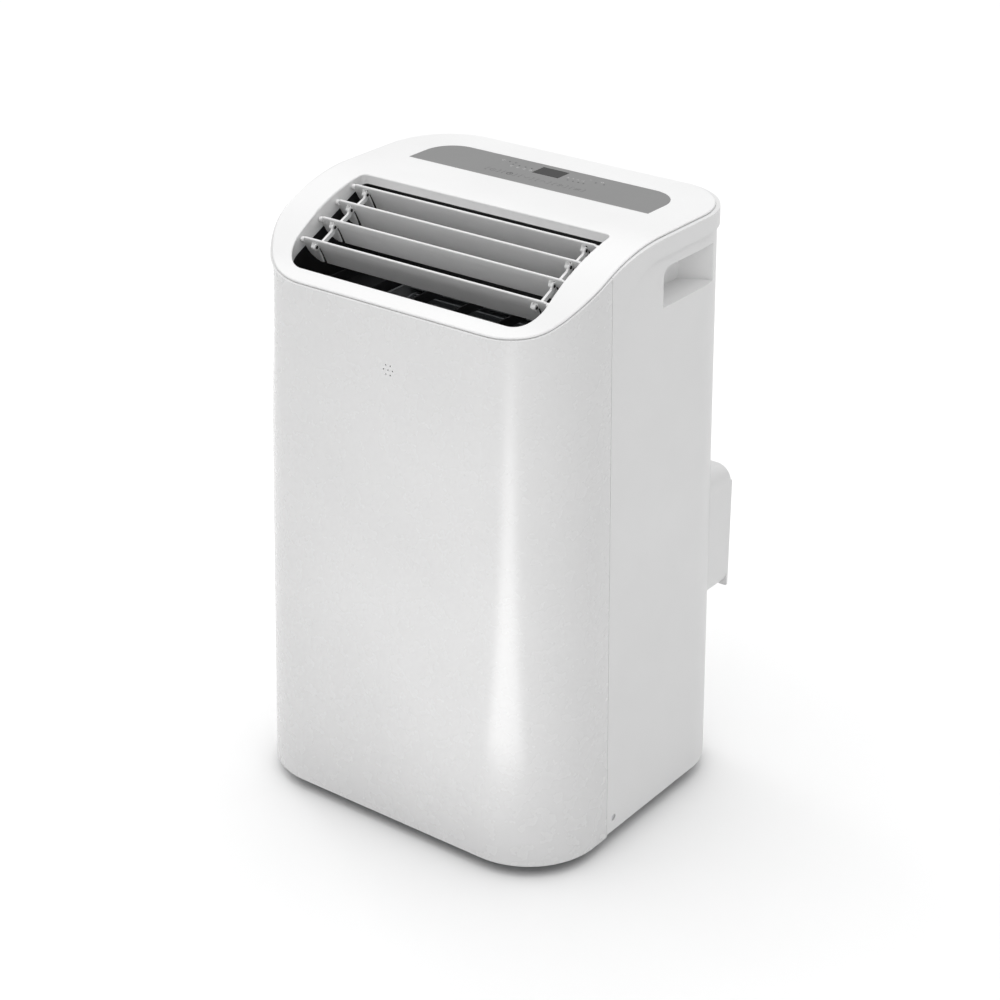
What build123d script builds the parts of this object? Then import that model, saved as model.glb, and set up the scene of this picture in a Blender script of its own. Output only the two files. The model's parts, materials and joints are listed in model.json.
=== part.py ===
"""Portable air conditioner: casing, outlet louvres, refrigeration parts and casters.

Millimetres, +Z up, front towards -Y. The origin is on the floor under the middle of the whole unit.
"""
import os
from math import cos, radians, sin, tan

from build123d import *

# ---------------------------------------------------------------- driving dimensions
casing_bottom = 18.0          # floor to the lower edge of the rear casing
casing_width = 440.0          # at the bottom
front_face_y = -189.0         # at the bottom
rear_face_y = 180.8           # at the bottom
lean_height = 700.0           # height over which the three leans below are measured
side_lean = 9.46              # each side leans in
front_lean = 20.55            # the front leans back
rear_lean = 4.5               # the back leans in
front_corner = 90.0           # plan radius of the front corners
rear_corner = 78.0            # plan radius of the rear corners
wall = 2.8
seam_y = -73.0                # joint between the front panel and the rear casing
seam_gap = 0.5
reach = 300.0                 # half size of the cutting prisms, larger than the casing

# side profile of the line where the top cover meets the shells, from the back to the nose
deck_z = 696.6
deck_front_y = 15.4
crest_radius = 239.0
slope_angle = 36.3
slope_length = 18.7
hollow_radius = 69.0
hollow_angle = 18.7
cover_rise = 2.6              # the cover's top stands this much above that line
cover_gap = 0.8               # shadow gap under the cover
cover_inset = 2.2             # the cover's edge lies inside the shells' outer faces
cover_edge_radius = 1.6
plate_drop = 1.0              # the cover's plate reaches this much below that line, inside the shells
outlet_lip_radius = 1.5       # rounding of the outlet's upper edge

# raised upper band of the rear casing
band_proud = 3.0
band_z = 677.0
band_front_y = 10.0
band_radius = 66.0

# receiver holes in the front panel: six round one
receiver_z = 560.5
receiver_pitch = 6.0
receiver_hole_radius = 0.9

# grip recess, one each side
grip_front_y = 19.9
grip_rear_y = 128.0
grip_z = (619.0, 663.0)
grip_depth = 27.0
grip_taper = 14.0             # slope of the recess walls
grip_corner = 13.0
grip_back_run = 40.0          # the rear end of the recess fades out over this length

# air outlet
outlet_half_width = 166.0
outlet_front_y = -149.5
outlet_rear_y = -10.0
outlet_front_corner = 30.0
outlet_rear_corner = 7.0
outlet_tilt = 24.3            # tilt of the outlet frame's lower edge
frame_low_z = 687.0           # that edge's height at the rear wall
frame_wall = 4.0

# louvres: front top edge of each as (y, z), hung on a pin near that edge
louver_tops = [(-31.1, 692.2), (-58.7, 682.1), (-86.8, 670.6), (-117.1, 656.4)]
louver_chord = 37.0
louver_thickness = 2.6
louver_half_length = 165.2
louver_corner = 18.0
louver_lean = 60.0            # chord below the horizontal, at rest
hinge_down = 5.0              # end pin below the top edge, along the chord
pin_radius = 2.0
running_gap = 0.05
link_x = 146.2                # middle of each link bar
link_down = 10.0              # link pin below the top edge, along the chord
link_front = 2.8              # link pin in front of the chord
link_thickness = 3.0
link_pin_radius = 1.5

# control panel
overlay_half_width = 161.0
overlay_y = (63.4, 131.9)
overlay_corner = 36.0
overlay_depth = 1.2
display_x = (-18.0, 17.0)
display_y = (101.5, 124.0)

# casters
caster_xy = [(-150.0, -118.0), (150.0, -118.0), (-150.0, 112.0), (150.0, 112.0)]
caster_wheel_radius = 19.0
caster_trail = 13.0
caster_well_radius = 38.0
tray_floor_z = 25.0
well_top_z = 56.0
tray_wall = 3.0

# exhaust box on the right of the back
exhaust_x = (34.0, 204.0)
exhaust_z = (219.0, 372.5)
exhaust_face_y = 189.088      # as far back as the front panel's lower lip is forward
exhaust_port = (119.0, 295.0)  # x, z of the hose port
port_radius = 66.0
collar_wall = 3.0
collar_length = 29.0

# small fittings, as (x, z) on the back and (y, z) on the sides
upper_drain_xz = (-100.0, 398.0)
gland_xz = (60.0, 120.0)
gland_radius = 8.0
side_screw_yz = (-60.0, 35.0)
side_screw_radius = 4.0

# compartments
pipe_hole_xy = [(-175.0, 60.0)]
drip_tray_z = 392.0
blower_z = 512.0
blower_y = -20.0
blower_wheel_radius = 68.0
blower_half_width = 95.0

os.makedirs("parts", exist_ok=True)


# ---------------------------------------------------------------- shared geometry
def lean(z, amount):
    """How far a face has moved inwards at height z."""
    return amount * (z - casing_bottom) / lean_height


def half_width(z):
    return casing_width / 2 - lean(z, side_lean)


def front_y(z):
    return front_face_y + lean(z, front_lean)


def rear_y(z):
    return rear_face_y - lean(z, rear_lean)


def leaning_block(z_low, z_high, grow=0.0):
    """The casing's four leaning faces between two heights, moved outwards by grow, corners sharp."""
    with BuildPart() as block:
        with BuildSketch(Plane.XZ):
            with BuildLine():
                Polyline((half_width(z_low) + grow, z_low), (half_width(z_high) + grow, z_high),
                         (-half_width(z_high) - grow, z_high), (-half_width(z_low) - grow, z_low), close=True)
            make_face()
        extrude(amount=reach, both=True)
        with BuildSketch(Plane.YZ):
            with BuildLine():
                Polyline((front_y(z_low) - grow, z_low), (front_y(z_high) - grow, z_high),
                         (rear_y(z_high) + grow, z_high), (rear_y(z_low) + grow, z_low), close=True)
            make_face()
        extrude(amount=reach, both=True, mode=Mode.INTERSECT)
    return block.part


def upright_edges(part):
    """The edges that run up the corners, front pair first."""
    return part.edges().filter_by(lambda edge: abs((edge % 0.5).Z) > 0.9).group_by(Axis.Y)


def envelope(z_low, z_high, inset=0.0):
    """The leaning body between two heights, moved inwards by inset."""
    with BuildPart() as block:
        add(leaning_block(z_low, z_high, -inset))
        fillet(upright_edges(block.part)[0], front_corner - inset)
        fillet(upright_edges(block.part)[-1], rear_corner - inset)
    return block.part


def under_line(rise):
    """Everything under the cover line raised by rise."""
    with BuildPart() as block:
        with BuildSketch(Plane.YZ):
            with BuildLine():
                deck = Line((reach, deck_z + rise), (deck_front_y, deck_z + rise))
                crest = JernArc(deck @ 1, deck % 1, crest_radius, slope_angle)
                slope = Line(crest @ 1, crest @ 1 + (crest % 1) * slope_length)
                hollow = JernArc(slope @ 1, slope % 1, hollow_radius, -hollow_angle)
                nose = Line(hollow @ 1, hollow @ 1 + (hollow % 1) * 60)
                Polyline(nose @ 1, ((nose @ 1).X, -20), (reach, -20), deck @ 0)
            make_face()
        extrude(amount=reach, both=True)
    return block.part


def outlet_outline(grow, corner_grow=0.0):
    """Plan of the air outlet, grown outwards."""
    with BuildSketch() as outline:
        with Locations((0, (outlet_front_y + outlet_rear_y) / 2)):
            Rectangle(2 * (outlet_half_width + grow), outlet_rear_y - outlet_front_y + 2 * grow)
        fillet(outline.vertices().group_by(Axis.Y)[0], outlet_front_corner + corner_grow)
        fillet(outline.vertices().group_by(Axis.Y)[-1], outlet_rear_corner + corner_grow)
    return outline.sketch


def above_frame_edge(drop=0.0):
    """Everything above the outlet frame's tilted lower edge."""
    low = frame_low_z - drop
    fall = tan(radians(outlet_tilt))
    with BuildPart() as block:
        with BuildSketch(Plane.YZ):
            with BuildLine():
                Polyline((reach, low + fall * (reach - outlet_rear_y)),
                         (-reach, low - fall * (reach + outlet_rear_y)),
                         (-reach, 1200), (reach, 1200), close=True)
            make_face()
        extrude(amount=reach, both=True)
    return block.part


def save(part, node):
    part.label = node
    export_step(part, f"parts/{node}.step")


# ---------------------------------------------------------------- front panel
shell = envelope(casing_bottom - 3, 730)
shell_inside = envelope(casing_bottom - 40, 740, wall)
cover_line = under_line(0)

with BuildPart() as receiver_holes:
    with BuildSketch(Plane.XZ.offset(-front_face_y - 30)):
        with Locations((0, receiver_z)):
            with PolarLocations(receiver_pitch, 6):
                Circle(receiver_hole_radius)
            Circle(receiver_hole_radius)
    extrude(amount=30)

with BuildPart() as front_panel:
    add(shell)
    add(shell_inside, mode=Mode.SUBTRACT)
    add(cover_line, mode=Mode.INTERSECT)
    split(bisect_by=Plane.XZ.offset(-(seam_y - seam_gap / 2)), keep=Keep.TOP)
    add(receiver_holes.part, mode=Mode.SUBTRACT)
save(front_panel.part, "front_panel")

# ---------------------------------------------------------------- rear casing


def band_prism():
    """Region above the step that runs round the rear casing and drops towards the seam."""
    with BuildPart() as block:
        with BuildSketch(Plane.YZ):
            with BuildLine():
                level = Line((reach, band_z), (band_front_y, band_z))
                drop = JernArc(level @ 1, level % 1, band_radius, 62)
                tail = Line(drop @ 1, drop @ 1 + (drop % 1) * 60)
                Polyline(tail @ 1, (-reach, (tail @ 1).Y), (-reach, 760), (reach, 760), level @ 0)
            make_face()
        extrude(amount=reach, both=True)
    return block.part


def band_body(z_low, z_high):
    """The casing grown by the band's height at the back, tapering to nothing at the seam."""
    with BuildPart() as block:
        add(leaning_block(z_low, z_high, band_proud))
        fillet(upright_edges(block.part)[-1], rear_corner + band_proud)
        for side in (1, -1):
            foot = Vector(side * half_width(z_low), seam_y, z_low)
            head = Vector(side * half_width(z_high), seam_y, z_high)
            back = Vector(side * (half_width(z_low) + band_proud), band_front_y - 5, z_low)
            fade = Plane(origin=foot, x_dir=back - foot, z_dir=(back - foot).cross(head - foot) * side)
            split(bisect_by=fade, keep=Keep.BOTTOM)
    return block.part


def grip_pocket(grow):
    """The hollow of one right-hand grip with sloping walls, grown by the pocket's wall."""
    low, high = grip_z
    margin = 6.0
    side_x = half_width(low)
    spread = grow + margin * tan(radians(grip_taper))
    mouth_plane = Plane(origin=(side_x + margin, 0, 0), x_dir=(0, 1, 0), z_dir=(-1, 0, 0))
    with BuildPart() as block:
        with BuildSketch(mouth_plane) as mouth:
            with Locations(((grip_front_y + grip_rear_y) / 2, -(low + high) / 2)):
                Rectangle(grip_rear_y - grip_front_y + 2 * spread, high - low + 2 * spread)
            fillet(mouth.vertices().group_by(Axis.Y)[0], grip_corner + grow)
        extrude(amount=margin + grip_depth + grow, taper=grip_taper)
        with BuildSketch(Plane.XY.offset(low - grip_depth)):
            with BuildLine():
                Polyline((reach, 0), (0, 0), (0, grip_rear_y - grip_back_run + grow),
                         (side_x - grip_depth - grow, grip_rear_y - grip_back_run + grow),
                         (side_x + 4, grip_rear_y + grow), (reach, grip_rear_y + grow), close=True)
            make_face()
        extrude(amount=high - low + 2 * grip_depth, mode=Mode.INTERSECT)
    return block.part


intake_upper = dict(x=(-150.0, 150.0), z=(408.0, 606.0))
intake_lower = dict(x=(-168.0, 6.0), z=(70.0, 372.0))
intake_depth = 14.0


def intake_block(intake, grow, y_low, y_high):
    """A block the size of an intake opening."""
    (x0, x1), (z0, z1) = intake["x"], intake["z"]
    with BuildPart() as block:
        with BuildSketch(Plane.XZ.offset(-y_high)):
            with Locations(((x0 + x1) / 2, (z0 + z1) / 2)):
                RectangleRounded(x1 - x0 + 2 * grow, z1 - z0 + 2 * grow, 8 + grow)
        extrude(amount=y_high - y_low)
    return block.part


ridge = band_prism()
band = band_body(560, 730)
grip_wall = grip_pocket(2.5)
grip_hollow = grip_pocket(0)
upper_hole = intake_block(intake_upper, 0.6, 150, 200)
lower_hole = intake_block(intake_lower, 0.6, 150, 200)

with BuildPart() as band_step:
    add(band)
    add(ridge, mode=Mode.INTERSECT)

with BuildPart() as rear_skin:
    add(envelope(casing_bottom, 730))
    add(band_step.part)

with BuildPart() as rear_shell:
    add(rear_skin.part)
    add(shell_inside, mode=Mode.SUBTRACT)
    add(grip_wall)
    add(mirror(grip_wall, about=Plane.YZ))
    add(rear_skin.part, mode=Mode.INTERSECT)
    add(cover_line, mode=Mode.INTERSECT)
    add(grip_hollow, mode=Mode.SUBTRACT)
    add(mirror(grip_hollow, about=Plane.YZ), mode=Mode.SUBTRACT)
    split(bisect_by=Plane.XZ.offset(-(seam_y + seam_gap / 2)), keep=Keep.BOTTOM)
    add(upper_hole, mode=Mode.SUBTRACT)
    add(lower_hole, mode=Mode.SUBTRACT)

# ---------------------------------------------------------------- top cover
with BuildPart() as cover_skirt:
    add(envelope(560, 730, wall + 0.5))
    add(envelope(560, 730, wall + 2.8), mode=Mode.SUBTRACT)
    add(under_line(0), mode=Mode.INTERSECT)
    add(under_line(-8), mode=Mode.SUBTRACT)

with BuildPart() as cover_plate:
    add(envelope(560, 730, wall + 0.5))
    add(under_line(cover_gap + 0.5), mode=Mode.INTERSECT)
    add(under_line(-plate_drop), mode=Mode.SUBTRACT)
    with BuildSketch(Plane.XY.offset(600)):
        add(outlet_outline(frame_wall + 0.3, frame_wall + 0.3))
    extrude(amount=130, mode=Mode.SUBTRACT)

with BuildPart() as outlet_plug:
    with BuildSketch(Plane.XY.offset(600)):
        add(outlet_outline(0))
    extrude(amount=130)

with BuildPart() as overlay_pocket:
    with BuildSketch(Plane.XY.offset(deck_z + cover_rise - overlay_depth)) as pocket_outline:
        with Locations((0, sum(overlay_y) / 2)):
            Rectangle(2 * overlay_half_width, overlay_y[1] - overlay_y[0])
        fillet(pocket_outline.vertices().group_by(Axis.Y)[-1], overlay_corner)
    extrude(amount=10)

with BuildPart() as top_cover:
    add(envelope(560, 730, cover_inset))
    add(under_line(cover_rise), mode=Mode.INTERSECT)
    rim = top_cover.edges().filter_by(
        lambda edge: (edge @ 0.5).Z > 600 and (abs((edge @ 0.5).X) > 1 or abs((edge @ 0.5).Y) > 150)
        and abs((edge % 0.5).Z) < 0.9)
    fillet(rim, cover_edge_radius)
    add(outlet_plug.part, mode=Mode.SUBTRACT)
    lip = top_cover.edges().filter_by(
        lambda edge: (edge @ 0.5).Z > 610 and abs((edge % 0.5).Z) < 0.95
        and abs((edge @ 0.5).X) < outlet_half_width + 0.1
        and outlet_front_y - 0.1 < (edge @ 0.5).Y < outlet_rear_y + 0.1
        and max(abs((edge @ 0.5).X) - outlet_half_width, (edge @ 0.5).Y - outlet_rear_y,
                outlet_front_y - (edge @ 0.5).Y) > -outlet_front_corner / 2)
    fillet(lip, outlet_lip_radius)
    add(under_line(cover_gap), mode=Mode.SUBTRACT)
    add(cover_plate.part)
    add(cover_skirt.part)
    add(overlay_pocket.part, mode=Mode.SUBTRACT)
save(top_cover.part, "top_cover")

# ---------------------------------------------------------------- outlet frame, duct and guard
hinge_points = []
link_points = []
chord_y, chord_z = cos(radians(louver_lean)), -sin(radians(louver_lean))
for top_y, top_z in louver_tops:
    hinge_points.append((top_y + hinge_down * chord_y, top_z + hinge_down * chord_z))
    link_points.append((top_y + link_down * chord_y + link_front * chord_z,
                        top_z + link_down * chord_z - link_front * chord_y))

with BuildPart() as outlet_frame:
    with BuildSketch(Plane.XY.offset(600)):
        add(outlet_outline(frame_wall, frame_wall))
        add(outlet_outline(0.3, 0.3), mode=Mode.SUBTRACT)
    extrude(amount=130)
    add(under_line(cover_gap - 0.1), mode=Mode.INTERSECT)
    add(above_frame_edge(), mode=Mode.INTERSECT)
    with BuildSketch(Plane.YZ):
        with Locations(*hinge_points):
            Circle(pin_radius + running_gap)
    extrude(amount=200, both=True, mode=Mode.SUBTRACT)
save(outlet_frame.part, "outlet_frame")

duct_floor_z = 590.0
duct_wall = 2.0
throat_half = 96.0
throat_y = (-92.0, -22.0)
duct_rear_y = 3.0             # room for the rear louvre's tail
duct_half = outlet_half_width + frame_wall - duct_wall
duct_front = outlet_front_y - frame_wall + duct_wall


def duct_outline(grow):
    """Plan of the duct's hollow, grown outwards."""
    with BuildSketch() as outline:
        with Locations((0, (duct_front + duct_rear_y) / 2)):
            Rectangle(2 * (duct_half + grow), duct_rear_y - duct_front + 2 * grow)
        fillet(outline.vertices().group_by(Axis.Y)[0], outlet_front_corner + duct_wall + grow)
        fillet(outline.vertices().group_by(Axis.Y)[-1], outlet_rear_corner + grow)
    return outline.sketch


with BuildPart() as duct_hollow:
    with BuildSketch(Plane.XY.offset(duct_floor_z + duct_wall)):
        add(duct_outline(0))
    extrude(amount=130)
    add(above_frame_edge(0.3 + duct_wall), mode=Mode.SUBTRACT)

with BuildPart() as outlet_duct:
    with BuildSketch(Plane.XY.offset(duct_floor_z)):
        add(duct_outline(duct_wall))
    extrude(amount=130)
    add(above_frame_edge(0.3), mode=Mode.SUBTRACT)
    add(duct_hollow.part, mode=Mode.SUBTRACT)
    with BuildSketch(Plane.XY.offset(duct_floor_z + 20)):
        add(outlet_outline(frame_wall - duct_wall, frame_wall - duct_wall))
    extrude(amount=130, mode=Mode.SUBTRACT)
    with BuildSketch(Plane.XY.offset(duct_floor_z - 1)):
        with Locations((0, sum(throat_y) / 2)):
            Rectangle(2 * throat_half, throat_y[1] - throat_y[0])
    extrude(amount=10, mode=Mode.SUBTRACT)
save(outlet_duct.part, "outlet_duct")

guard_pitch = 56.5
guard_z = (598.0, 610.0)
guard_bar_height = 3.0
with BuildPart() as guard_ribs:
    with BuildSketch(Plane.XY.offset(guard_z[0])):
        with Locations((0, -80)):
            with GridLocations(guard_pitch, 1, 6, 1):
                Rectangle(1.6, 128)
    extrude(amount=guard_z[1] - guard_z[0])
save(guard_ribs.part, "guard_ribs")

with BuildPart() as guard_bars:
    with BuildSketch(Plane.XY.offset(guard_z[0] - guard_bar_height)):
        with Locations((0, -75)):
            with GridLocations(1, 42, 1, 3):
                Rectangle(2 * duct_half, 2)
    extrude(amount=guard_bar_height)
save(guard_bars.part, "guard_bars")

# ---------------------------------------------------------------- louvres
notch_top = 4.4               # the notch for the link bar starts this far down the chord
notch_width = 5.4
ear_thickness = 2.6
ear_gap = 0.4
ear_nose = 2.6                # half width of an ear at the pin


def louver_plane(index, x=0.0):
    """Section plane of one louvre: x down the chord, y to the back of the blade."""
    top_y, top_z = louver_tops[index]
    return Plane(origin=(x, top_y, top_z), x_dir=(0, chord_y, chord_z), z_dir=(1, 0, 0))


def louver(index):
    """One louvre blade with its end pins, link slots and link ears."""
    half = louver_thickness / 2
    section = louver_plane(index)
    face = Plane(origin=section.origin, x_dir=(1, 0, 0), z_dir=section.y_dir)
    with BuildPart() as blade:
        with BuildSketch(section):
            with BuildLine():
                front = ThreePointArc((half, -half), (18, -half + 1.1), (louver_chord - 1, -0.9))
                tip = ThreePointArc(front @ 1, (louver_chord, 0), (louver_chord - 1, 0.9))
                back = ThreePointArc(tip @ 1, (18, half + 1.1), (half, half))
                ThreePointArc(back @ 1, (0, 0), front @ 0)
            make_face()
        extrude(amount=louver_half_length, both=True)
        with BuildSketch(face) as plan:
            with Locations((0, (louver_chord - 4) / 2)):
                Rectangle(2 * louver_half_length, louver_chord + 4)
            fillet(plan.vertices().group_by(Axis.Z)[0], louver_corner)
            with Locations((link_x, notch_top + louver_chord / 2), (-link_x, notch_top + louver_chord / 2)):
                Rectangle(notch_width, louver_chord, mode=Mode.SUBTRACT)
        extrude(amount=10, both=True, mode=Mode.INTERSECT)
        for side in (1, -1):
            ear_x = side * link_x - link_thickness / 2 - ear_gap - ear_thickness
            with BuildSketch(louver_plane(index, ear_x)):
                with BuildLine():
                    Polyline((link_down - 6, 0.4), (link_down - ear_nose, -link_front - 1),
                             (link_down + ear_nose, -link_front - 1), (link_down + 9, 0.4), close=True)
                make_face()
                with Locations((link_down, -link_front)):
                    Circle(3.0)
            extrude(amount=ear_thickness)
            with BuildSketch(louver_plane(index, ear_x)):
                with Locations((link_down, -link_front)):
                    Circle(link_pin_radius)
            extrude(amount=ear_thickness + ear_gap + link_thickness + 0.3)
            boss_x = side * (louver_half_length - 2)
            with BuildSketch(louver_plane(index, boss_x - 2)):
                with Locations((hinge_down, 0)):
                    Circle(pin_radius + 0.9)
            extrude(amount=4)
            length = 12.0 if (side > 0 and index == 0) else 4.0
            start_x = louver_half_length - 1 if side > 0 else -louver_half_length - length
            with BuildSketch(louver_plane(index, start_x)):
                with Locations((hinge_down, 0)):
                    Circle(pin_radius)
            extrude(amount=length + 1)
    return blade.part


for index in range(len(louver_tops)):
    save(louver(index), f"louver_{index + 1}")

# ---------------------------------------------------------------- link bars
link_width = 4.8
link_eye = 3.6
link_sag = 3.4
link_loose = 0.3              # clearance of the open pivots


def link_bar(side):
    """A stepped bar along the fronts of all four louvres, with an eye on each link pin."""
    path = [Vector(*link_points[0])]
    for here, there in zip(link_points, link_points[1:]):
        start, end = Vector(*here), Vector(*there)
        along = (end - start).normalized()
        above = Vector(along.Y, -along.X)
        path += [start + along * 5 - above * link_sag, end - along * 10 - above * link_sag, end]
    with BuildPart() as bar:
        with BuildSketch(Plane.YZ.offset(side * link_x - link_thickness / 2)):
            for start, end in zip(path, path[1:]):
                middle, run = (start + end) / 2, end - start
                turn = Vector(1, 0).get_signed_angle(run, Vector(0, 0, 1))
                with Locations(Location((middle.X, middle.Y), turn)):
                    SlotCenterToCenter(run.length, link_width)
            with Locations(*link_points):
                Circle(link_eye)
            with Locations(link_points[0]):
                Circle(link_pin_radius + running_gap, mode=Mode.SUBTRACT)
            with Locations(*link_points[1:]):
                Circle(link_pin_radius + link_loose, mode=Mode.SUBTRACT)
        extrude(amount=link_thickness)
    return bar.part


save(link_bar(-1), "link_bar_left")
save(link_bar(1), "link_bar_right")

# ---------------------------------------------------------------- swing motor
motor_x = outlet_half_width + frame_wall + 0.2
motor_can = (hinge_points[0][0], hinge_points[0][1] - 10)
with BuildPart() as swing_motor:
    with BuildSketch(Plane.YZ.offset(motor_x)):
        with Locations(motor_can):
            Circle(13)
            Rectangle(35, 7)
        with Locations(hinge_points[0]):
            Circle(3)
    extrude(amount=3)
    with BuildSketch(Plane.YZ.offset(motor_x + 3)):
        with Locations(motor_can):
            Circle(13)
        with Locations(hinge_points[0]):
            Circle(3)
    extrude(amount=14)
    with BuildSketch(Plane.YZ.offset(motor_x)):
        with Locations(hinge_points[0]):
            Circle(pin_radius + running_gap)
    extrude(amount=8, mode=Mode.SUBTRACT)
save(swing_motor.part, "swing_motor")

# ---------------------------------------------------------------- control panel
panel_z = deck_z + cover_rise - overlay_depth
with BuildPart() as control_overlay:
    with BuildSketch(Plane.XY.offset(panel_z)) as panel:
        with Locations((0, sum(overlay_y) / 2)):
            Rectangle(2 * overlay_half_width - 0.5, overlay_y[1] - overlay_y[0] - 0.5)
        fillet(panel.vertices().group_by(Axis.Y)[-1], overlay_corner)
        with Locations((sum(display_x) / 2, sum(display_y) / 2)):
            Rectangle(display_x[1] - display_x[0] + 0.3, display_y[1] - display_y[0] + 0.3,
                      mode=Mode.SUBTRACT)
    extrude(amount=overlay_depth - 0.1)
save(control_overlay.part, "control_overlay")

with BuildPart() as display_window:
    with BuildSketch(Plane.XY.offset(panel_z)):
        with Locations((sum(display_x) / 2, sum(display_y) / 2)):
            Rectangle(display_x[1] - display_x[0], display_y[1] - display_y[0])
    extrude(amount=overlay_depth - 0.1)
save(display_window.part, "display_window")

with BuildPart() as control_board:
    with BuildSketch(Plane.XY.offset(684)):
        with Locations((0, 98)):
            RectangleRounded(180, 58, 3)
            with GridLocations(168, 46, 2, 2):
                Circle(1.8, mode=Mode.SUBTRACT)
    extrude(amount=1.6)
    with BuildSketch(Plane.XY.offset(685.6)):
        with Locations((0, 112)):
            Rectangle(34, 20)
        with Locations((0, 84)):
            with GridLocations(23.5, 1, 6, 1):
                Circle(4)
    extrude(amount=4)
    with BuildSketch(Plane.XY.offset(684)):
        with Locations((50, 100), (-50, 100)):
            Rectangle(16, 12)
    extrude(amount=-6)
save(control_board.part, "control_board")

with BuildPart() as receiver_module:
    face = front_y(receiver_z) + wall + 0.4
    with BuildSketch(Plane.XZ.offset(-face)):
        with Locations((0, receiver_z)):
            RectangleRounded(30, 22, 2)
    extrude(amount=-2)
    with BuildSketch(Plane.XZ.offset(-face - 2)):
        with Locations((0, receiver_z)):
            Circle(8.5)
    extrude(amount=-6)
save(receiver_module.part, "receiver_module")

# ---------------------------------------------------------------- intake grilles and filters


def intake_grille(intake, columns, rows):
    """A louvred panel set flush in the back of the casing."""
    (x0, x1), (z0, z1) = intake["x"], intake["z"]
    skin = rear_y((z0 + z1) / 2)
    pitch_x, pitch_z = (x1 - x0 - 10) / columns, (z1 - z0 - 12) / rows
    with BuildPart() as grille:
        add(intake_block(intake, 0, skin - intake_depth, skin - wall))
        add(intake_block(intake, 0, skin - wall, 200))
        add(rear_skin.part, mode=Mode.INTERSECT)
        with BuildSketch(Plane.XZ.offset(-(skin - intake_depth - 1))):
            with Locations(((x0 + x1) / 2, (z0 + z1) / 2)):
                Rectangle(x1 - x0 - 6, z1 - z0 - 6)
        extrude(amount=-(intake_depth + 1 - wall), mode=Mode.SUBTRACT)
        with BuildSketch(Plane.XZ.offset(-(skin + 10))):
            with Locations(((x0 + x1) / 2, (z0 + z1) / 2)):
                with GridLocations(pitch_x, pitch_z, columns, rows):
                    SlotOverall(pitch_x - 5, pitch_z * 0.55)
        extrude(amount=40, mode=Mode.SUBTRACT)
    return grille.part


def filter_frame(intake, columns, rows):
    """A rectangular frame with cross ribs and a fine mesh sheet, clipped inside a grille."""
    (x0, x1), (z0, z1) = intake["x"], intake["z"]
    back = rear_y((z0 + z1) / 2) - intake_depth + 9
    width, height = x1 - x0 - 7, z1 - z0 - 7
    with BuildPart() as screen:
        with BuildSketch(Plane.XZ.offset(-back)):
            with Locations(((x0 + x1) / 2, (z0 + z1) / 2)):
                RectangleRounded(width, height, 4)
                with GridLocations((width - 6) / columns, (height - 6) / rows, columns, rows):
                    Rectangle((width - 6) / columns - 3, (height - 6) / rows - 3, mode=Mode.SUBTRACT)
        extrude(amount=5)
        with BuildSketch(Plane.XZ.offset(-back + 2.2)):
            with Locations(((x0 + x1) / 2, (z0 + z1) / 2)):
                Rectangle(width - 4, height - 4)
        extrude(amount=0.5)
    return screen.part


save(intake_grille(intake_upper, 4, 20), "upper_intake_grille")
save(intake_grille(intake_lower, 2, 30), "lower_intake_grille")
save(filter_frame(intake_upper, 4, 3), "upper_filter")
save(filter_frame(intake_lower, 3, 5), "lower_filter")

# ---------------------------------------------------------------- base tray and casters
stem_radius = 4.0
stem_top_z = well_top_z + 22
drain_xz = (-60.0, 40.0)
drain_radius = 7.0
tray_top_z = 64.0
lower_cap_face = rear_y(drain_xz[1] + 12) - wall - 0.2

with BuildPart() as base_tray:
    add(envelope(tray_floor_z - tray_wall, tray_top_z, wall + 0.4))
    add(envelope(tray_floor_z, tray_top_z + 1, wall + 0.4 + tray_wall), mode=Mode.SUBTRACT)
    with BuildSketch(Plane.XY.offset(tray_floor_z - tray_wall)):
        with Locations(*caster_xy):
            Circle(caster_well_radius + tray_wall)
    extrude(amount=well_top_z + 4 - tray_floor_z + tray_wall)
    with BuildSketch(Plane.XY.offset(well_top_z)):
        with Locations(*caster_xy):
            Circle(stem_radius + 4)
    extrude(amount=stem_top_z + 3 - well_top_z)
    add(envelope(tray_floor_z - tray_wall, 120, wall + 0.4), mode=Mode.INTERSECT)
    with BuildSketch(Plane.XY.offset(tray_floor_z - tray_wall - 1)):
        with Locations(*caster_xy):
            Circle(caster_well_radius)
    extrude(amount=well_top_z - tray_floor_z + tray_wall + 1, mode=Mode.SUBTRACT)
    with BuildSketch(Plane.XY.offset(well_top_z - 1)):
        with Locations(*caster_xy):
            Circle(stem_radius + running_gap)
    extrude(amount=stem_top_z + 1 - well_top_z, mode=Mode.SUBTRACT)
    # drain spigot through the back wall
    with BuildSketch(Plane.XZ.offset(-(lower_cap_face - 18))):
        with Locations(drain_xz):
            Circle(drain_radius + 2.5)
    extrude(amount=-18)
    with BuildSketch(Plane.XZ.offset(-(lower_cap_face - 19))):
        with Locations(drain_xz):
            Circle(drain_radius)
    extrude(amount=-30, mode=Mode.SUBTRACT)
    with BuildSketch(Plane.YZ):
        with Locations(side_screw_yz):
            Circle(1.9)
    extrude(amount=260, both=True, mode=Mode.SUBTRACT)
save(base_tray.part, "base_tray")

wheel_width = 9.0
wheel_gap = 9.0
fork_top_z = well_top_z - 1.2
caster_names = ["front_left", "front_right", "rear_left", "rear_right"]


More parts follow.
